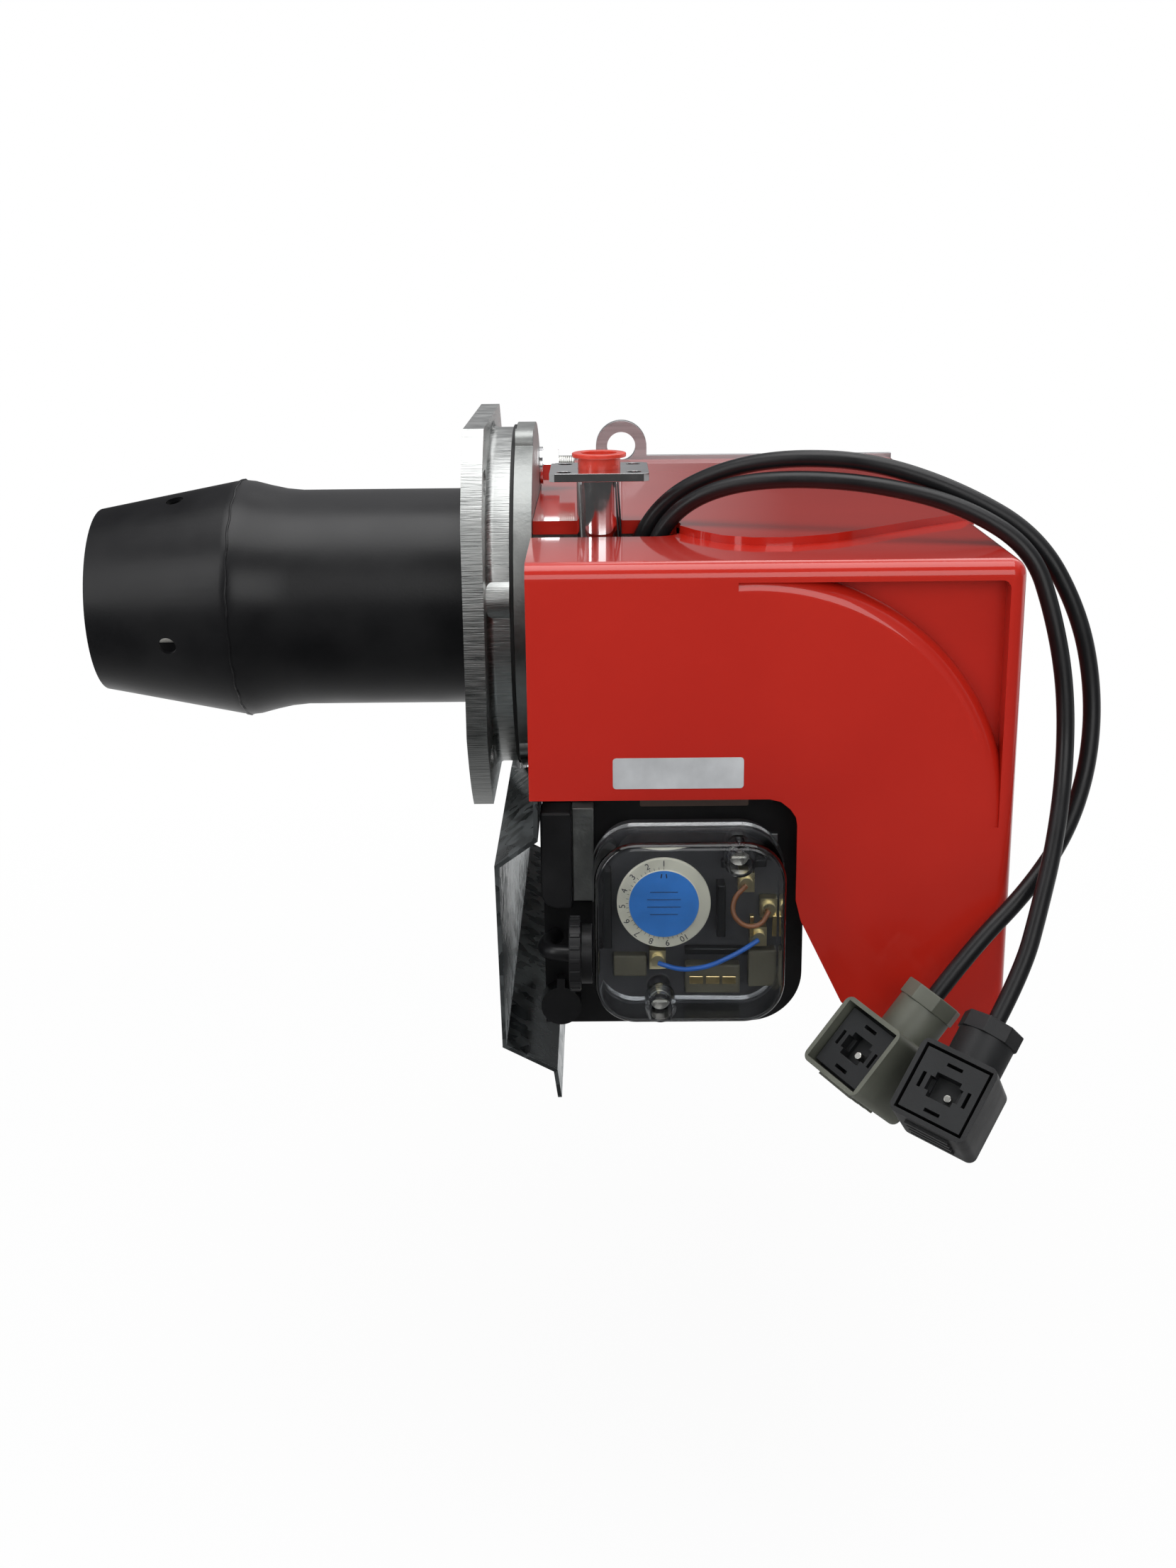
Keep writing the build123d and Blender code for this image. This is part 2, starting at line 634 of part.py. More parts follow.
def plug_plane(face, n, v):
    # local z out of the socket face, local y along the cable gland
    z = n.normalized()
    y = (v - z * v.dot(z)).normalized()
    return Plane(origin=face, x_dir=y.cross(z), z_dir=z)


def plug_body():
    b = Pos(0, 0, -PLUG_DEEP / 2) * Box(28, 28, PLUG_DEEP)
    b = fillet(b.edges().filter_by(Axis.Z), 3.0)
    b = fillet(b.edges().group_by(Axis.Z)[0], 2.5)
    # ribbed tail below the gland side
    for k in range(4):
        b = b + Pos(0, -14.3, -7 - 5 * k) * Box(16, 1.4, 2.4)
    b = b + Pos(0, 20.0, -GLAND_DEEP) * Rot(90, 0, 0) * Cylinder(10.2, 12.4)
    b = b - Pos(0, 0, -5.0) * Box(24.6, 24.6, 12)
    b = b - Pos(0, 22.0, -GLAND_DEEP) * Rot(90, 0, 0) * Cylinder(4.2, 40.0)
    b = b - Pos(0, 0, -19.0) * Box(20, 20, 20)
    return b


def plug_insert(sink):
    i = Pos(0, 0, -(11.0 + sink) / 2) * Box(22.6, 22.6, 11.0 - sink)
    i = i + Pos(0, 0, -10.3) * Box(24.6, 24.6, 1.4)
    i = i - Pos(1.5, -1.5, -9.0) * Cylinder(1.4, 12.0)
    i = i - Pos(0, 0, -sink) * Box(9.0, 9.0, 12)
    i = i - Pos(0, 0, -sink) * Box(12.0, 5.0, 8)
    for a in (0, 90, 180):
        i = i - Rot(0, 0, a) * Pos(8.3, 0, -sink - 2) * Box(1.2, 5.6, 7)
    i = i - Pos(0, -8.8, -sink - 2) * Box(5.6, 1.2, 7)
    return i


def plug_nut():
    n = Pos(0, 29.3, -GLAND_DEEP) * Rot(90, 0, 0) * extrude(RegularPolygon(10.4, 8, major_radius=False), 3.1, both=True)
    n = fillet(n.edges().group_by(Axis.Y)[-1], 0.6)
    n = n - Pos(0, 29.0, -GLAND_DEEP) * Rot(90, 0, 0) * Cylinder(CORD_R, 20.0)
    return n


def plug_screw():
    s = Pos(1.5, -1.5, -9.0) * Cylinder(1.4, 9.0)
    s = s + Pos(1.5, -1.5, -13.0) * Cylinder(2.4, 1.6)
    return s


def cable_grommet():
    g = box(58, 76, -76, -50, 22, 26)
    g = g - cz(9.0, 20, 30, PIPE_X, PIPE_Y)
    g = g - Pos(70, -64, 24) * Cylinder(CORD_R + 0.3, 8) - Pos(63, -60, 24) * Cylinder(CORD_R + 0.3, 8)
    return g


def main():
    save(blast_tube(), "blast_tube")
    save(mounting_flange(), "mounting_flange")
    save(body_gasket(), "body_gasket")
    save(fan_housing(), "fan_housing")
    save(studs(), "flange_studs")
    save(nuts(), "flange_nuts")
    save(washers(), "flange_washers")
    save(gas_pipe(), "gas_pipe")
    save(gas_flange(), "gas_flange")
    save(gas_plug(), "gas_plug")
    save(gas_head(), "gas_head")
    save(diffuser(), "diffuser_disc")
    save(electrode_bracket(), "electrode_bracket")
    save(electrode(18.0, -131.0), "ignition_electrode")
    save(electrode(-18.0, -140.0), "ionisation_probe")
    save(fan_wheel(), "fan_wheel")
    save(motor_shaft(), "motor_shaft")
    save(motor_can(), "motor_can")
    save(motor_stator(), "motor_stator")
    save(motor_end_cap(), "motor_end_cap")
    save(motor_bearings(), "motor_bearings")
    save(bearing_spider(), "bearing_spider")
    save(capacitor(), "motor_capacitor")
    save(capacitor_clip(), "capacitor_clip")
    save(control_plate(), "control_plate")
    save(control_base(), "control_box_base")
    save(control_box(), "control_box")
    save(reset_button(), "reset_button")
    save(transformer(), "ignition_transformer")
    save(cover(), "cover")
    save(cover_screw(), "cover_screw")
    save(side_plate(), "side_plate")
    save(intake_box(), "intake_box")
    save(damper(), "damper_plate")
    save(damper_shaft(), "damper_shaft")
    save(damper_knob(), "damper_knob")
    save(deflector(), "air_deflector")
    save(deflector_spacer(), "deflector_tab")
    save(deflector_screws(), "deflector_screws")
    save(switch_base(), "switch_base")
    save(switch_cover(), "switch_cover")
    save(switch_dial(), "switch_dial")
    save(switch_screws(), "switch_screws")
    save(switch_terminals(), "switch_terminals")
    save(tube_along(BLUE_WIRE, 0.9), "switch_wire_blue")
    save(tube_along(BROWN_WIRE, 0.9), "switch_wire_brown")
    save(switch_gland(), "switch_gland")
    save(switch_cable_stub(), "switch_cable")
    save(switch_bracket(), "switch_bracket")
    save(mains_socket(), "mains_socket")
    save(socket_casting(), "socket_casting")
    save(tube_along(INNER, CORD_R), "cable_inner")
    save(tube_along(OUTER, CORD_R), "cable_outer")
    screws = None
    for name, face, n, v, sink in (("grey_plug", GREY_FACE, GREY_N, GREY_V, 3.5),
                                   ("black_plug", BLACK_FACE, BLACK_N, BLACK_V, 0.3)):
        plane = plug_plane(face, n, v)
        save(plane * plug_body(), name + "_body")
        save(plane * plug_insert(sink), name + "_insert")
        save(plane * plug_nut(), name + "_nut")
        screw = plane * plug_screw()
        screws = screw if screws is None else screws + screw
    save(screws, "plug_screws")


main()
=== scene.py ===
# %% [markdown]
# # A forced-draught gas burner
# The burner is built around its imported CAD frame. The frame brings every solid piece in its real
# place, in metres, with the blast tube pointing to -X and the origin on the boiler flange. What is
# left for Blender is what makes the metal, enamel and plastic believable: rounded edges, finishes,
# the free cables, the printed dial and the small parts behind the clear switch cover.

# %% Load the frame
import bpy
import bmesh
import json
import math
from mathutils import Matrix, Vector


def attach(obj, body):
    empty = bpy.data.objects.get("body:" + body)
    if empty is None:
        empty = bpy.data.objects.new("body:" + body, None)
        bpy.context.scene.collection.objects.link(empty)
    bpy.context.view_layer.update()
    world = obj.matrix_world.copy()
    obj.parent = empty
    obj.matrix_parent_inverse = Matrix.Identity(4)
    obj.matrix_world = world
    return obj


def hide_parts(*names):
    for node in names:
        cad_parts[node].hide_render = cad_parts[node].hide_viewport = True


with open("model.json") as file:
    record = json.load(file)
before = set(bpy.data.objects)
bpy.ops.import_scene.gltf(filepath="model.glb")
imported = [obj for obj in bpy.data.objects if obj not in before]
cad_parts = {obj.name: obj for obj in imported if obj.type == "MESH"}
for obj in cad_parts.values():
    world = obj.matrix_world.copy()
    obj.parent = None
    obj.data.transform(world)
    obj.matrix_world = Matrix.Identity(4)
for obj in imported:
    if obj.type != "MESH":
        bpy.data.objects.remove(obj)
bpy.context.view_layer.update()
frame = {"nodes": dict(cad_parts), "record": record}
NODES = frame["nodes"]

# %% [markdown]
# ## Camera
# A burner is shown from its switch side, a little above its middle, so that the top of the cover and
# the gas inlet can be seen. The view could be set by eye, but a fixed place, tilt and lens are safer,
# because every later comparison needs the same view.

# %% Camera
CAMERA_AT = (0.0537, -0.7634, 0.1422)
TILT_DOWN = 0.2877
HEADING = 0.0105
ROLL = -0.0118
lens = bpy.data.cameras.new("view")
lens.lens = 41.89
lens.sensor_width = 36.0
lens.clip_start = 0.01
camera = bpy.data.objects.new("view", lens)
bpy.context.scene.collection.objects.link(camera)
camera.matrix_world = (Matrix.Translation(CAMERA_AT) @ Matrix.Rotation(HEADING, 4, "Z")
                       @ Matrix.Rotation(math.pi / 2 - TILT_DOWN, 4, "X")
                       @ Matrix.Rotation(ROLL, 4, "Z"))
bpy.context.scene.camera = camera
bpy.context.scene.view_settings.view_transform = "Standard"
print("camera lens", lens.lens, "mm")

# %% [markdown]
# ## Light
# Gloss enamel and chrome are only as good as what they reflect. One big soft lamp above gives the
# top of the cover its sheen, a second one in front fills the near face, and a weaker one from the
# left draws the long highlights on the blast tube. A lamp behind lifts the far side. The world is
# white to the eye, and lights the object less than that, so that nothing clips. A plain white world
# in the reflections would wash out the red, so metal and enamel see a room of pale and dark panels.

# %% World
world = bpy.data.worlds.new("studio")
bpy.context.scene.world = world
world.use_nodes = True
wn = world.node_tree.nodes
wl = world.node_tree.links
wn.clear()
sky_out = wn.new("ShaderNodeOutputWorld")
seen = wn.new("ShaderNodeBackground")
seen.inputs["Color"].default_value = (1.0, 1.0, 1.0, 1.0)
seen.inputs["Strength"].default_value = 1.0
fill = wn.new("ShaderNodeBackground")
fill.inputs["Color"].default_value = (0.95, 0.97, 1.0, 1.0)
fill.inputs["Strength"].default_value = 0.36
ray = wn.new("ShaderNodeLightPath")
either = wn.new("ShaderNodeMath")
either.operation = "MAXIMUM"
wl.new(ray.outputs["Is Camera Ray"], either.inputs[0])
wl.new(ray.outputs["Is Transmission Ray"], either.inputs[1])
# what metal reflects: tall pale and dark panels across the room, dimmer in front and far behind
room = wn.new("ShaderNodeBackground")
heading = wn.new("ShaderNodeTexCoord")
split = wn.new("ShaderNodeSeparateXYZ")
wl.new(heading.outputs["Generated"], split.inputs["Vector"])
panels = wn.new("ShaderNodeValToRGB")
panels.color_ramp.elements[0].position = 0.0
panels.color_ramp.elements[0].color = (0.75, 0.77, 0.8, 1.0)
panels.color_ramp.elements[1].position = 1.0
panels.color_ramp.elements[1].color = (0.55, 0.56, 0.58, 1.0)
for spot, level in ((0.14, 0.8), (0.2, 0.12), (0.36, 0.1), (0.42, 0.9), (0.5, 0.9), (0.55, 0.16),
                    (0.7, 0.12), (0.76, 0.95), (0.86, 0.9), (0.92, 0.2)):
    stop = panels.color_ramp.elements.new(spot)
    stop.color = (level, level, level * 1.02, 1.0)
spread = wn.new("ShaderNodeMapRange")
spread.inputs["From Min"].default_value = -1.0
spread.inputs["From Max"].default_value = 1.0
wl.new(split.outputs["X"], spread.inputs["Value"])
wl.new(spread.outputs["Result"], panels.inputs["Fac"])
depth = wn.new("ShaderNodeValToRGB")
depth.color_ramp.elements[0].position = 0.0
depth.color_ramp.elements[0].color = (0.13, 0.13, 0.13, 1.0)
depth.color_ramp.elements[1].position = 1.0
depth.color_ramp.elements[1].color = (0.4, 0.4, 0.4, 1.0)
for spot, level in ((0.3, 0.2), (0.46, 0.9), (0.8, 1.0), (0.94, 0.5)):
    stop = depth.color_ramp.elements.new(spot)
    stop.color = (level, level, level, 1.0)
flat = wn.new("ShaderNodeMapRange")
flat.inputs["From Min"].default_value = -1.0
flat.inputs["From Max"].default_value = 1.0
wl.new(split.outputs["Y"], flat.inputs["Value"])
wl.new(flat.outputs["Result"], depth.inputs["Fac"])
dimmed = wn.new("ShaderNodeVectorMath")
dimmed.operation = "SCALE"
wl.new(panels.outputs["Color"], dimmed.inputs["Vector"])
wl.new(depth.outputs["Color"], dimmed.inputs["Scale"])
wl.new(dimmed.outputs["Vector"], room.inputs["Color"])
room.inputs["Strength"].default_value = 0.95
shown = wn.new("ShaderNodeMixShader")
wl.new(ray.outputs["Is Glossy Ray"], shown.inputs["Fac"])
wl.new(fill.outputs[0], shown.inputs[1])
wl.new(room.outputs[0], shown.inputs[2])
mix = wn.new("ShaderNodeMixShader")
wl.new(either.outputs[0], mix.inputs["Fac"])
wl.new(shown.outputs[0], mix.inputs[1])
wl.new(seen.outputs[0], mix.inputs[2])
wl.new(mix.outputs[0], sky_out.inputs["Surface"])
print("world ready")


# %% Lamps
def soft_lamp(name, at, aim, size, watts, tint=(1.0, 1.0, 1.0)):
    data = bpy.data.lights.new(name, "AREA")
    data.shape = "RECTANGLE"
    data.size, data.size_y = size
    data.energy = watts
    data.color = tint
    lamp = bpy.data.objects.new(name, data)
    bpy.context.scene.collection.objects.link(lamp)
    lamp.location = at
    lamp.rotation_euler = (Vector(aim) - Vector(at)).to_track_quat("-Z", "Y").to_euler()
    return lamp


soft_lamp("top_softbox", (0.05, -0.15, 1.1), (0.05, 0.0, 0.0), (1.3, 0.9), 11.0)
soft_lamp("front_softbox", (0.35, -1.3, 0.55), (0.08, -0.1, -0.02), (0.9, 0.7), 4.8)
soft_lamp("tube_strip", (-0.75, -0.75, 0.45), (-0.06, 0.0, 0.0), (0.25, 0.9), 2.6)
soft_lamp("rear_softbox", (0.5, 0.85, 0.95), (0.05, 0.1, 0.0), (0.9, 0.7), 3.5)
print("lamps ready")

# %% [markdown]
# ## Finishes
# Each finish is a small node tree on a Principled shader. Noise in object space gives the scale of
# the real grain: tenths of a millimetre for moulded plastic, a millimetre for a casting, long
# streaks for a sawn edge. Constants such as sheen, coat or index sit on the shader's own sockets.


# %% Finish helpers
def finish(name, colour, rough, metal=0.0, **sockets):
    mat = bpy.data.materials.new(name)
    mat.use_nodes = True
    shader = mat.node_tree.nodes["Principled BSDF"]
    shader.inputs["Base Color"].default_value = (*colour, 1.0)
    shader.inputs["Roughness"].default_value = rough
    shader.inputs["Metallic"].default_value = metal
    for key, value in sockets.items():
        shader.inputs[key.replace("_", " ")].default_value = value
    return mat


def grain(mat, scale, stretch=(1.0, 1.0, 1.0), detail=3.0, kind="noise"):
    # a texture in object space; scale is in cycles per metre
    nodes, links = mat.node_tree.nodes, mat.node_tree.links
    where = nodes.new("ShaderNodeTexCoord")
    place = nodes.new("ShaderNodeMapping")
    place.inputs["Scale"].default_value = stretch
    links.new(where.outputs["Object"], place.inputs["Vector"])
    if kind == "cells":
        tex = nodes.new("ShaderNodeTexVoronoi")
        tex.inputs["Scale"].default_value = scale
        out = tex.outputs["Color"]
    else:
        tex = nodes.new("ShaderNodeTexNoise")
        tex.inputs["Scale"].default_value = scale
        tex.inputs["Detail"].default_value = detail
        out = tex.outputs["Fac"]
    links.new(place.outputs["Vector"], tex.inputs["Vector"])
    return out


def tint(mat, source, low, high, start=0.3, end=0.7):
    nodes, links = mat.node_tree.nodes, mat.node_tree.links
    ramp = nodes.new("ShaderNodeValToRGB")
    ramp.color_ramp.elements[0].position = start
    ramp.color_ramp.elements[1].position = end
    ramp.color_ramp.elements[0].color = (*low, 1.0)
    ramp.color_ramp.elements[1].color = (*high, 1.0)
    links.new(source, ramp.inputs["Fac"])
    links.new(ramp.outputs["Color"], nodes["Principled BSDF"].inputs["Base Color"])


def vary_rough(mat, source, low, high):
    nodes, links = mat.node_tree.nodes, mat.node_tree.links
    span = nodes.new("ShaderNodeMapRange")
    span.inputs["From Min"].default_value = 0.3
    span.inputs["From Max"].default_value = 0.7
    span.inputs["To Min"].default_value = low
    span.inputs["To Max"].default_value = high
    links.new(source, span.inputs["Value"])
    links.new(span.outputs["Result"], nodes["Principled BSDF"].inputs["Roughness"])


def relief(mat, source, height, strength=1.0):
    nodes, links = mat.node_tree.nodes, mat.node_tree.links
    bump = nodes.new("ShaderNodeBump")
    bump.inputs["Distance"].default_value = height
    bump.inputs["Strength"].default_value = strength
    links.new(source, bump.inputs["Height"])
    links.new(bump.outputs["Normal"], nodes["Principled BSDF"].inputs["Normal"])


print("finish helpers ready")


# %% Metals
def painted_tube():
    m = finish("tube_black", (0.008, 0.008, 0.009), 0.36, Specular_IOR_Level=0.35)
    spots = grain(m, 28.0, detail=6.0)
    tint(m, spots, (0.005, 0.005, 0.006), (0.012, 0.012, 0.013))
    vary_rough(m, spots, 0.3, 0.42)
    relief(m, grain(m, 900.0, detail=2.0), 0.00004, 0.5)
    return m


def casting(name, low, high, rough=0.42):
    m = finish(name, high, rough, 1.0)
    cloud = grain(m, 90.0, detail=8.0)
    tint(m, cloud, low, high, 0.25, 0.75)
    vary_rough(m, cloud, rough - 0.08, rough + 0.1)
    relief(m, grain(m, 700.0, detail=4.0), 0.00015, 0.6)
    return m


def sawn():
    # long scratches across the plate, as a saw and a belt leave them
    m = finish("sawn_aluminium", (0.45, 0.46, 0.455), 0.36, 1.0)
    lines = grain(m, 60.0, (1.5, 3.0, 34.0), detail=6.0)
    tint(m, lines, (0.3, 0.31, 0.305), (0.56, 0.57, 0.56))
    vary_rough(m, lines, 0.26, 0.48)
    relief(m, lines, 0.00025, 0.7)
    return m


def plated(name, colour, rough, spangle=0.0):
    m = finish(name, colour, rough, 1.0)
    if spangle:
        cells = grain(m, spangle, kind="cells")
        nodes = m.node_tree.nodes
        grey = nodes.new("ShaderNodeRGBToBW")
        m.node_tree.links.new(cells, grey.inputs["Color"])
        dark = tuple(c * 0.72 for c in colour)
        tint(m, grey.outputs["Val"], dark, colour, 0.2, 0.8)
        vary_rough(m, grey.outputs["Val"], rough - 0.06, rough + 0.12)
    else:
        cloud = grain(m, 140.0, detail=5.0)
        vary_rough(m, cloud, max(0.03, rough - 0.04), rough + 0.06)
        tint(m, cloud, tuple(c * 0.9 for c in colour), colour)
    return m


def brushed():
    # cold-rolled sheet: fine lines one way
    m = finish("brushed_plate", (0.42, 0.43, 0.44), 0.34, 1.0)
    lines = grain(m, 150.0, (0.08, 1.0, 4.0), detail=5.0)
    tint(m, lines, (0.34, 0.35, 0.36), (0.5, 0.51, 0.52))
    vary_rough(m, lines, 0.28, 0.42)
    relief(m, lines, 0.00006, 0.5)
    return m


METALS = {
    "black_steel": painted_tube(),
    "cast_alu": sawn(),
    "cast_alu_body": casting("cast_aluminium", (0.2, 0.21, 0.205), (0.4, 0.41, 0.4)),
    "zinc_steel": plated("zinc_screws", (0.66, 0.66, 0.62), 0.28),
    "bright_chrome": plated("bright_chrome", (0.86, 0.86, 0.87), 0.07),
    "plain_steel": plated("turned_steel", (0.45, 0.45, 0.46), 0.32),
    "stainless": plated("stainless_disc", (0.6, 0.6, 0.59), 0.3),
    "galvanised": plated("galvanised_sheet", (0.36, 0.39, 0.4), 0.3, 240.0),
    "plate_alu": brushed(),
    "copper_stator": plated("enamelled_winding", (0.6, 0.28, 0.13), 0.35),
    "terminal_beige": plated("plated_terminals", (0.66, 0.58, 0.36), 0.3),
}
print(len(METALS), "metals")


# %% Enamel, plastics and rubber
def enamel():
    m = finish("red_enamel", (0.5, 0.018, 0.009), 0.34, Coat_Weight=1.0, Coat_Roughness=0.06,
               Specular_IOR_Level=0.15)
    cloud = grain(m, 9.0, detail=3.0)
    tint(m, cloud, (0.46, 0.014, 0.007), (0.53, 0.02, 0.01))
    relief(m, grain(m, 260.0, detail=1.0), 0.00003, 0.35)
    return m


def moulded(name, colour, rough, scale=1600.0, height=0.00006, **sockets):
    m = finish(name, colour, rough, **sockets)
    cloud = grain(m, 70.0, detail=5.0)
    tint(m, cloud, tuple(c * 0.82 for c in colour), tuple(min(1.0, c * 1.15) for c in colour))
    vary_rough(m, cloud, rough - 0.05, rough + 0.07)
    relief(m, grain(m, scale, detail=2.0), height, 0.5)
    return m


def clear_moulding():
    m = finish("clear_moulding", (0.93, 0.95, 0.97), 0.03, Transmission_Weight=1.0, IOR=1.49)
    haze = grain(m, 60.0, detail=4.0)
    vary_rough(m, haze, 0.015, 0.06)
    return m


PLASTICS = {
    "red_gloss": enamel(),
    "red_plastic": moulded("cap_red", (0.72, 0.05, 0.025), 0.34, Coat_Weight=0.3),
    "button_red": moulded("button_red", (0.55, 0.03, 0.02), 0.3),
    "gasket_black": moulded("gasket_black", (0.02, 0.02, 0.02), 0.7),
    "ceramic": moulded("glazed_ceramic", (0.82, 0.8, 0.74), 0.18),
    "pale_plastic": moulded("capacitor_pale", (0.7, 0.7, 0.66), 0.4),
    "black_plastic": moulded("housing_black", (0.009, 0.009, 0.01), 0.42, Specular_IOR_Level=0.35),
    "grey_base": moulded("switch_grey", (0.06, 0.06, 0.064), 0.45),
    "clear_cover": clear_moulding(),
    "dial_ivory": moulded("dial_ivory", (0.66, 0.64, 0.52), 0.4),
    "wire_blue": moulded("wire_blue", (0.02, 0.14, 0.55), 0.3),
    "wire_brown": moulded("wire_brown", (0.25, 0.09, 0.03), 0.3),
    "cable_black": moulded("cable_sheath", (0.009, 0.009, 0.01), 0.36, 700.0, Specular_IOR_Level=0.4),
    "grey_plastic": moulded("plug_grey", (0.115, 0.12, 0.095), 0.42),
    "black_insert": moulded("insert_black", (0.015, 0.016, 0.017), 0.5, Specular_IOR_Level=0.35),
    "black_plug": moulded("plug_black", (0.018, 0.0185, 0.0195), 0.45, Specular_IOR_Level=0.35),
}
FINISH = {**METALS, **PLASTICS}
EXTRA = {
    "dial_blue": moulded("dial_blue", (0.035, 0.22, 0.68), 0.38),
    "dial_ink": moulded("dial_ink", (0.02, 0.02, 0.03), 0.5),
    "label_grey": moulded("label_grey", (0.5, 0.51, 0.52), 0.35),
    "label_tan": moulded("label_tan", (0.13, 0.09, 0.07), 0.5),
    "contact_brass": plated("contact_brass", (0.8, 0.62, 0.3), 0.22),
    "microswitch": moulded("microswitch", (0.12, 0.11, 0.075), 0.5),
}
print(len(FINISH), "finishes for the frame,", len(EXTRA), "for added pieces")

# %% [markdown]
# ## Edges of the solid pieces
# A solid from CAD has knife edges and a triangle mesh. The mesh itself must stay as it is, so the
# work is left to modifiers: weld the split corners, dissolve the flat triangles into whole faces,
# then bevel what is still sharp. The bevel catches a thin line of light, as every real edge does.

# %% Slots and edge widths
EDGE = {
    "cover": 0.0012, "mounting_flange": 0.0008, "fan_housing": 0.0012, "intake_box": 0.001,
    "switch_cover": 0.0006, "switch_base": 0.0008, "gas_flange": 0.0004, "side_plate": 0.0005,
    "air_deflector": 0.0003, "deflector_tab": 0.0002, "grey_plug_body": 0.0007,
    "black_plug_body": 0.0007, "mains_socket": 0.001, "control_box": 0.001, "motor_can": 0.0005,
    "fan_wheel": 0.0002, "damper_plate": 0.0002, "body_gasket": 0.0002, "switch_screws": 0.00015,
    "switch_terminals": 0.0003, "diffuser_disc": 0.0002, "flange_washers": 0.0002,
    "capacitor_clip": 0.0003, "control_plate": 0.0003, "switch_bracket": 0.0003,
    "grey_plug_insert": 0.0002, "black_plug_insert": 0.0002, "cover_screw": 0.0002,
}
slot_of = {s["node"]: s["material_slot"] for s in frame["record"]["subparts"]}


def dress(node, width):
    obj = NODES[node]
    mesh = obj.data
    if not mesh.materials:
        mesh.materials.append(None)
    for slot in obj.material_slots:
        slot.material = FINISH[slot_of[node]]
    mesh.polygons.foreach_set("use_smooth", [True] * len(mesh.polygons))
    if "custom_normal" in mesh.attributes:
        mesh.attributes.remove(mesh.attributes["custom_normal"])
    weld = obj.modifiers.new("weld", "WELD")
    weld.merge_threshold = 0.000004
    flat = obj.modifiers.new("flats", "DECIMATE")
    flat.decimate_type = "DISSOLVE"
    flat.angle_limit = math.radians(0.4)
    bevel = obj.modifiers.new("edge", "BEVEL")
    bevel.width = width
    bevel.segments = 2
    bevel.limit_method = "ANGLE"
    bevel.angle_limit = math.radians(32.0)
    bevel.harden_normals = True
    bevel.use_clamp_overlap = True


for node in NODES:
    dress(node, EDGE.get(node, 0.0004))
print("dressed", len(NODES), "solid pieces")

# %% [markdown]
# ## Free cables
# Two cables leave the slot beside the gas pipe, pass over the rear edge of the cover and hang down to
# their valve plugs. A cable is one smooth line of fixed length with a round section, so a NURBS curve
# with a bevel is the natural form: its control points are the points of the real route.

# %% Cables
SHEATH = 0.0064
ROUTES = {
    "cable_inner": [(68, -64, 14), (72, -66, 32), (83, -70, 47), (101, -76, 55.5), (126, -85, 58.5),
                    (155, -95, 57), (184, -103, 50), (207.5, -110, 35.5), (215, -117, 12),
                    (219.5, -122, -13), (219.5, -128, -40), (214, -143, -64), (206.5, -156, -85),
                    (199.1, -167.4, -104.0), (187.7, -177.4, -120.6)],
    "cable_outer": [(60, -58, 12), (66, -60.5, 32), (78, -62, 49), (98, -69, 60), (122, -79, 65.5),
                    (152, -90, 65), (183, -97, 55), (211, -103, 39), (226, -109, 12),
                    (232, -113, -16), (230, -121, -42), (221, -131, -65), (205, -143, -83),
                    (184.1, -153.3, -100.6), (169.3, -159.1, -118.5)],
}


def smooth_line(name, points):
    curve = bpy.data.curves.new(name, "CURVE")
    curve.dimensions = "3D"
    spline = curve.splines.new("NURBS")
    spline.points.add(len(points) - 1)
    for point, place in zip(spline.points, points):
        point.co = (place[0] / 1000, place[1] / 1000, place[2] / 1000, 1.0)
    spline.order_u = 3
    spline.use_endpoint_u = True
    spline.resolution_u = 16
    return curve


def run_cable(name, points):
    curve = smooth_line(name, points)
    curve.bevel_depth = SHEATH / 2
    curve.bevel_resolution = 6
    curve.use_fill_caps = True
    obj = bpy.data.objects.new(name + "_sheath", curve)
    bpy.context.scene.collection.objects.link(obj)
    curve.materials.append(FINISH["cable_black"])
    return obj


def along(points):
    # arc length of the smooth line, read from the curve without its round section
    probe = bpy.data.objects.new("probe", smooth_line("probe", points))
    line = bpy.data.meshes.new_from_object(probe)
    total = sum((line.vertices[e.vertices[0]].co - line.vertices[e.vertices[1]].co).length
                for e in line.edges)
    bpy.data.objects.remove(probe)
    return total


for name, points in ROUTES.items():
    cable = run_cable(name, points)
    length = along(points)
    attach(cable, "burner")
    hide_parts(name)
    print(name, "length", round(length, 4), "m")

# %% [markdown]
# ## Labels
# The cover carries a plain pale sticker, and a darker one is on the intake box above the switch.
# Both are left bare. A sticker could be painted in a texture, but a thin plate with rounded corners
# has a real edge that catches light, so that is what is used.


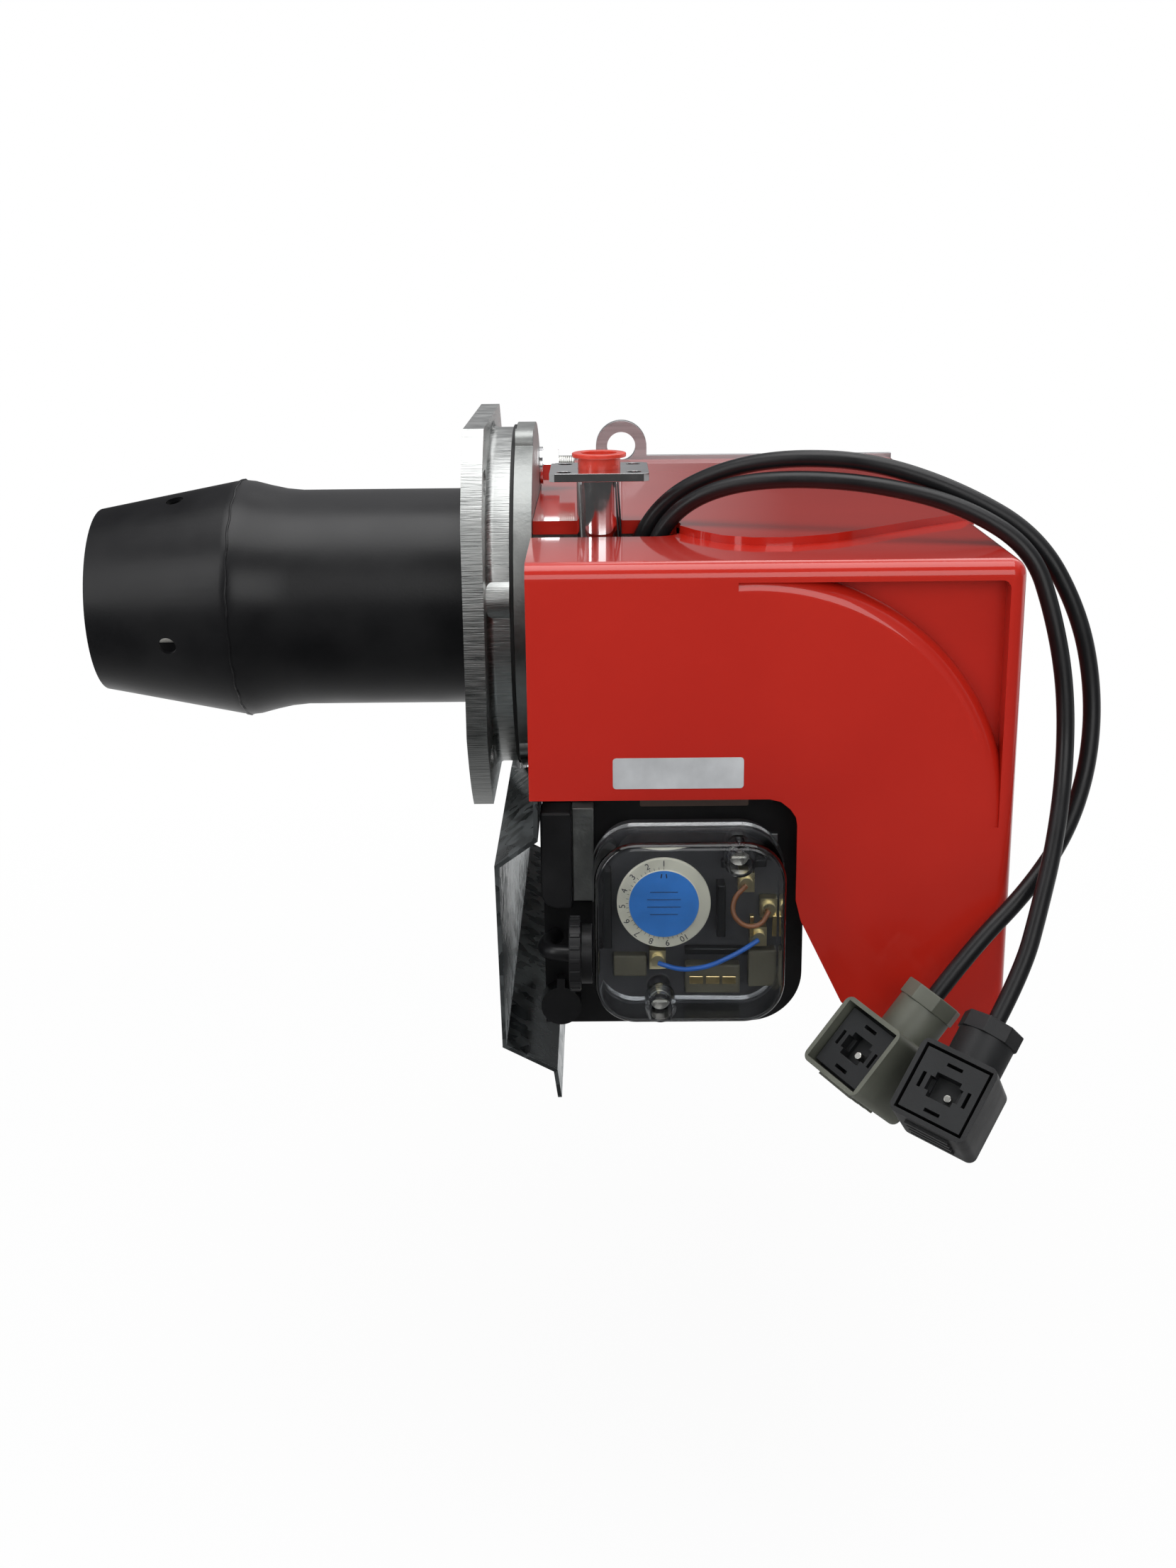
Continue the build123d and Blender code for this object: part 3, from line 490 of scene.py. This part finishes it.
# %% Plates
def plate(name, centre, size, thick, corner, mat, body="burner"):
    # rounded rectangle in X and Z, its face towards -Y
    bm = bmesh.new()
    w, h = size[0] / 2, size[1] / 2
    ring = []
    for cx, cz, a0 in ((w - corner, h - corner, 0), (corner - w, h - corner, 90),
                       (corner - w, corner - h, 180), (w - corner, corner - h, 270)):
        for k in range(5):
            a = math.radians(a0 + 22.5 * k)
            ring.append(bm.verts.new((cx + corner * math.cos(a), 0.0, cz + corner * math.sin(a))))
    face = bm.faces.new(ring)
    out = bmesh.ops.extrude_face_region(bm, geom=[face])
    bmesh.ops.translate(bm, verts=[v for v in out["geom"] if isinstance(v, bmesh.types.BMVert)],
                        vec=(0.0, -thick, 0.0))
    bmesh.ops.recalc_face_normals(bm, faces=bm.faces)
    mesh = bpy.data.meshes.new(name)
    bm.to_mesh(mesh)
    bm.free()
    obj = bpy.data.objects.new(name, mesh)
    bpy.context.scene.collection.objects.link(obj)
    mesh.materials.append(mat)
    obj.location = centre
    bevel = obj.modifiers.new("edge", "BEVEL")
    bevel.width = thick * 0.35
    bevel.segments = 2
    bevel.limit_method = "ANGLE"
    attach(obj, body)
    return obj


plate("cover_label", (0.0793, -0.13995, -0.0386), (0.0466, 0.0114), 0.00025, 0.0012,
      EXTRA["label_grey"])
plate("box_label", (0.086, -0.11995, -0.0545), (0.040, 0.005), 0.0002, 0.0006, EXTRA["label_tan"])
print("labels placed")

# %% [markdown]
# ## Pressure switch
# Behind its clear cover the switch has an ivory dial with a blue centre, terminals, a small switch
# block and moulded pillars. The scale is generic: the numbers one to ten, in millibar steps on a real
# one. The figures are real type turned into mesh, so that they stay sharp from any distance.

# %% Dial face
DIAL = Vector((0.074, -0.1476, -0.085))
FIGURES = {"1": 90, "2": 113, "3": 138, "4": 161, "5": 184, "6": 207, "7": 230, "8": 252, "9": 275,
           "10": 299}


def join_mesh(name, meshes, mat, body):
    bm = bmesh.new()
    for mesh in meshes:
        bm.from_mesh(mesh)
    mesh = bpy.data.meshes.new(name)
    bm.to_mesh(mesh)
    bm.free()
    mesh.materials.clear()
    mesh.materials.append(mat)
    obj = bpy.data.objects.new(name, mesh)
    bpy.context.scene.collection.objects.link(obj)
    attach(obj, body)
    return obj


def disc(radius, thick, centre, segments=64, inner=0.0):
    bm = bmesh.new()
    steps = [2 * math.pi * k / segments for k in range(segments)]
    outer = [bm.verts.new((radius * math.cos(a), 0.0, radius * math.sin(a))) for a in steps]
    if inner:
        hole = [bm.verts.new((inner * math.cos(a), 0.0, inner * math.sin(a))) for a in steps]
        faces = [bm.faces.new((outer[k], outer[(k + 1) % segments], hole[(k + 1) % segments], hole[k]))
                 for k in range(segments)]
    else:
        faces = [bm.faces.new(outer)]
    out = bmesh.ops.extrude_face_region(bm, geom=faces)
    bmesh.ops.translate(bm, verts=[v for v in out["geom"] if isinstance(v, bmesh.types.BMVert)],
                        vec=(0.0, -thick, 0.0))
    bmesh.ops.translate(bm, verts=bm.verts, vec=centre)
    bmesh.ops.recalc_face_normals(bm, faces=bm.faces)
    mesh = bpy.data.meshes.new("disc")
    bm.to_mesh(mesh)
    bm.free()
    return mesh


def block(size, matrix):
    bm = bmesh.new()
    bmesh.ops.create_cube(bm, size=1.0, matrix=matrix @ Matrix.Diagonal((*size, 1.0)))
    mesh = bpy.data.meshes.new("block")
    bm.to_mesh(mesh)
    bm.free()
    return mesh


def figure(text, angle, radius, height):
    data = bpy.data.curves.new("figure", "FONT")
    data.body = text
    data.size = height
    data.align_x = "CENTER"
    data.align_y = "CENTER"
    data.extrude = 0.00003
    obj = bpy.data.objects.new("figure", data)
    mesh = bpy.data.meshes.new_from_object(obj)
    a = math.radians(angle)
    at = DIAL + Vector((radius * math.cos(a), 0.00055, radius * math.sin(a)))
    turn = Matrix.Rotation(-(a - math.pi / 2), 4, "Y")
    mesh.transform(Matrix.Translation(at) @ turn @ Matrix.Rotation(math.pi / 2, 4, "X"))
    bpy.data.objects.remove(obj)
    return mesh


figures = [figure(t, a, 0.0149, 0.0032) for t, a in FIGURES.items()]
ticks = []
for k in range(29):
    a = math.radians(90 + k * 209 / 28)
    spot = DIAL + Vector((0.0132 * math.cos(a), 0.0005, 0.0132 * math.sin(a)))
    turn = Matrix.Rotation(-(a - math.pi / 2), 4, "Y")
    ticks.append(block((0.00014, 0.00008, 0.0009), Matrix.Translation(spot) @ turn))
join_mesh("dial_scale", figures + ticks, EXTRA["dial_ink"], "dial")
centre = disc(0.0125, 0.00012, DIAL + Vector((0, 0.00002, 0)))
join_mesh("dial_centre", [centre], EXTRA["dial_blue"], "dial")
marks = [block((0.0004, 0.00008, 0.0016),
               Matrix.Translation(DIAL + Vector((x, -0.00016, 0.0106))) @ Matrix.Rotation(t, 4, "Y"))
         for x, t in ((-0.0009, 0.15), (0.0009, -0.15))]
for k in range(4):
    marks.append(block((0.013 - 0.002 * abs(k - 1.5), 0.00006, 0.00022),
                       Matrix.Translation(DIAL + Vector((0, -0.00015, 0.0045 - 0.0028 * k)))))
join_mesh("dial_marks", marks, EXTRA["dial_ink"], "dial")
print("dial face:", len(figures), "figures,", len(ticks), "ticks")


# %% Parts behind the clear cover
def soften(obj, width):
    bevel = obj.modifiers.new("edge", "BEVEL")
    bevel.width = width
    bevel.segments = 2
    bevel.limit_method = "ANGLE"
    return obj


def at(x, y, z):
    return Matrix.Translation((x / 1000, y / 1000, z / 1000))


bodies = [block((0.020, 0.006, 0.011), at(92, -137.5, -117)),
          block((0.012, 0.005, 0.008), at(62, -137, -112)),
          block((0.010, 0.006, 0.014), at(110, -137.5, -113))]
soften(join_mesh("switch_blocks", bodies, EXTRA["microswitch"], "burner"), 0.0006)
frames = [block((0.003, 0.008, 0.020), at(95, -138.5, -90)),
          block((0.016, 0.003, 0.003), at(103, -138, -73)),
          block((0.003, 0.006, 0.030), at(54, -137.5, -90)),
          block((0.024, 0.004, 0.0025), at(94, -136.5, -107))]
soften(join_mesh("switch_ribs", frames, FINISH["black_plastic"], "burner"), 0.0004)
clips = [block((0.005, 0.0008, 0.003), at(92 + 6 * k, -141, -117)) for k in range(-1, 2)]
clips += [block((0.0015, 0.003, 0.008), at(x, -140.5, -96)) for x in (106, 114)]
soften(join_mesh("switch_clips", clips, EXTRA["contact_brass"], "burner"), 0.0002)
print("switch insides placed")

# %% [markdown]
# ## Fasteners and glands
# A stud looks like a stud when its thread shows, and a plastic gland is known by its grip ribs. Both
# are rows of the same small form, so they are made in loops: rings for the thread and short bars for
# the ribs.


# %% Stud threads
def ring_x(radius, tube, x, y, z, around=32, section=6):
    bm = bmesh.new()
    rows = []
    for k in range(around):
        a = 2 * math.pi * k / around
        row = []
        for m in range(section):
            b = 2 * math.pi * m / section
            r = radius + tube * math.cos(b)
            row.append(bm.verts.new((x + tube * math.sin(b), y + r * math.cos(a), z + r * math.sin(a))))
        rows.append(row)
    for k in range(around):
        for m in range(section):
            p, q = rows[k], rows[(k + 1) % around]
            bm.faces.new((p[m], p[(m + 1) % section], q[(m + 1) % section], q[m]))
    bmesh.ops.recalc_face_normals(bm, faces=bm.faces)
    mesh = bpy.data.meshes.new("ring")
    bm.to_mesh(mesh)
    bm.free()
    return mesh


STUD_CIRCLE = 0.064
THREAD_PITCH = 0.00085
THREAD_RADIUS = 0.0039
THREAD_DEPTH = 0.00028
threads = []
for angle, end in ((51.0, 0.041), (171.0, 0.035), (291.0, 0.035)):
    a = math.radians(angle)
    y, z = STUD_CIRCLE * math.cos(a), STUD_CIRCLE * math.sin(a)
    x = 0.0348 if end > 0.04 else 0.0342
    while x < end:
        threads.append(ring_x(THREAD_RADIUS, THREAD_DEPTH, x, y, z))
        x += THREAD_PITCH
join_mesh("stud_threads", threads, FINISH["zinc_steel"], "burner")
print("stud threads:", len(threads), "rings")

# %% Gland ribs
RIB_COUNT = 18
RIB_RADIUS = 0.0135
ribs = []
for k in range(RIB_COUNT):
    turn = Matrix.Rotation(2 * math.pi * k / RIB_COUNT, 4, "X")
    place = at(41.8, -140, -107) @ turn @ Matrix.Translation((0, 0, RIB_RADIUS))
    ribs.append(block((0.0038, 0.0016, 0.0008), place))
soften(join_mesh("gland_ribs", ribs, FINISH["black_plastic"], "burner"), 0.0003)
print("gland ribs:", len(ribs))

# %% [markdown]
# ## Blast tube weld
# The cone is welded to the tube at the widest ring. The bead is a thin, slightly uneven ring that
# has been painted over with the rest.

# %% Weld bead
BEAD_RADIUS = 0.04932
BEAD_THICK = 0.0005
BEAD_X = -0.097
bead = ring_x(BEAD_RADIUS, BEAD_THICK, BEAD_X, 0.0, 0.0, around=180, section=8)
for vertex in bead.vertices:
    a = math.atan2(vertex.co.z, vertex.co.y)
    swell = 1.0 + 0.0012 * math.sin(41 * a) + 0.0008 * math.sin(67 * a + 1.0)
    vertex.co.y *= swell
    vertex.co.z *= swell
    vertex.co.x += 0.00025 * math.sin(23 * a)
join_mesh("tube_weld", [bead], FINISH["black_steel"], "burner")
print("weld bead placed")

# %% [markdown]
# ## Floor
# A burner hangs on its boiler by the flange, so nothing here stands on the floor. A plain pale plane
# below it takes a faint shadow and bounces light up under the cover. To the eye it is white, so that
# the burner stands out as on a plain page. In reflections it is white behind the burner and darker in
# front, for the same reason as the room.

# %% Floor plane
pale = finish("floor_pale", (0.86, 0.86, 0.86), 0.9)
tint(pale, grain(pale, 3.0), (0.85, 0.85, 0.85), (0.87, 0.87, 0.87))
floor_mesh = bpy.data.meshes.new("floor")
FLOOR_Z = -0.36
SPAN = 6.0
floor_mesh.from_pydata([(-SPAN, -SPAN, FLOOR_Z), (SPAN, -SPAN, FLOOR_Z), (SPAN, SPAN, FLOOR_Z),
                        (-SPAN, SPAN, FLOOR_Z)], [], [(0, 1, 2, 3)])
floor_mesh.materials.append(pale)
floor = bpy.data.objects.new("floor", floor_mesh)
bpy.context.scene.collection.objects.link(floor)
fn, fl = pale.node_tree.nodes, pale.node_tree.links
eye = fn.new("ShaderNodeLightPath")
spot = fn.new("ShaderNodeTexCoord")
part_xyz = fn.new("ShaderNodeSeparateXYZ")
fl.new(spot.outputs["Object"], part_xyz.inputs["Vector"])
span = fn.new("ShaderNodeVectorMath")
span.operation = "LENGTH"
fl.new(spot.outputs["Object"], span.inputs[0])
# plain white to the eye, with a little of the real shadow left under the burner
clear = fn.new("ShaderNodeMapRange")
clear.interpolation_type = "SMOOTHSTEP"
clear.inputs["From Min"].default_value = 0.3
clear.inputs["From Max"].default_value = 1.1
clear.inputs["To Min"].default_value = 0.94
clear.inputs["To Max"].default_value = 1.0
fl.new(span.outputs["Value"], clear.inputs["Value"])
seen_part = fn.new("ShaderNodeMath")
seen_part.operation = "MULTIPLY"
fl.new(eye.outputs["Is Camera Ray"], seen_part.inputs[0])
fl.new(clear.outputs["Result"], seen_part.inputs[1])
glow = fn.new("ShaderNodeEmission")
glow.inputs["Color"].default_value = (1.0, 1.0, 1.0, 1.0)
blend = fn.new("ShaderNodeMixShader")
fl.new(seen_part.outputs[0], blend.inputs["Fac"])
fl.new(fn["Principled BSDF"].outputs[0], blend.inputs[1])
fl.new(glow.outputs[0], blend.inputs[2])
# metal and enamel see white floor behind the burner and a darker one in front of it
near_far = fn.new("ShaderNodeMapRange")
near_far.interpolation_type = "SMOOTHSTEP"
near_far.inputs["From Min"].default_value = -0.35
near_far.inputs["From Max"].default_value = 0.55
near_far.inputs["To Min"].default_value = 0.06
near_far.inputs["To Max"].default_value = 0.9
fl.new(part_xyz.outputs["Y"], near_far.inputs["Value"])
mirror = fn.new("ShaderNodeEmission")
mirror.inputs["Color"].default_value = (1.0, 1.0, 1.0, 1.0)
fl.new(near_far.outputs["Result"], mirror.inputs["Strength"])
through = fn.new("ShaderNodeMath")
through.operation = "MAXIMUM"
fl.new(eye.outputs["Is Glossy Ray"], through.inputs[0])
fl.new(eye.outputs["Is Transmission Ray"], through.inputs[1])
last = fn.new("ShaderNodeMixShader")
fl.new(through.outputs[0], last.inputs["Fac"])
fl.new(blend.outputs[0], last.inputs[1])
fl.new(mirror.outputs[0], last.inputs[2])
fl.new(last.outputs[0], fn["Material Output"].inputs["Surface"])
print("floor at", FLOOR_Z)
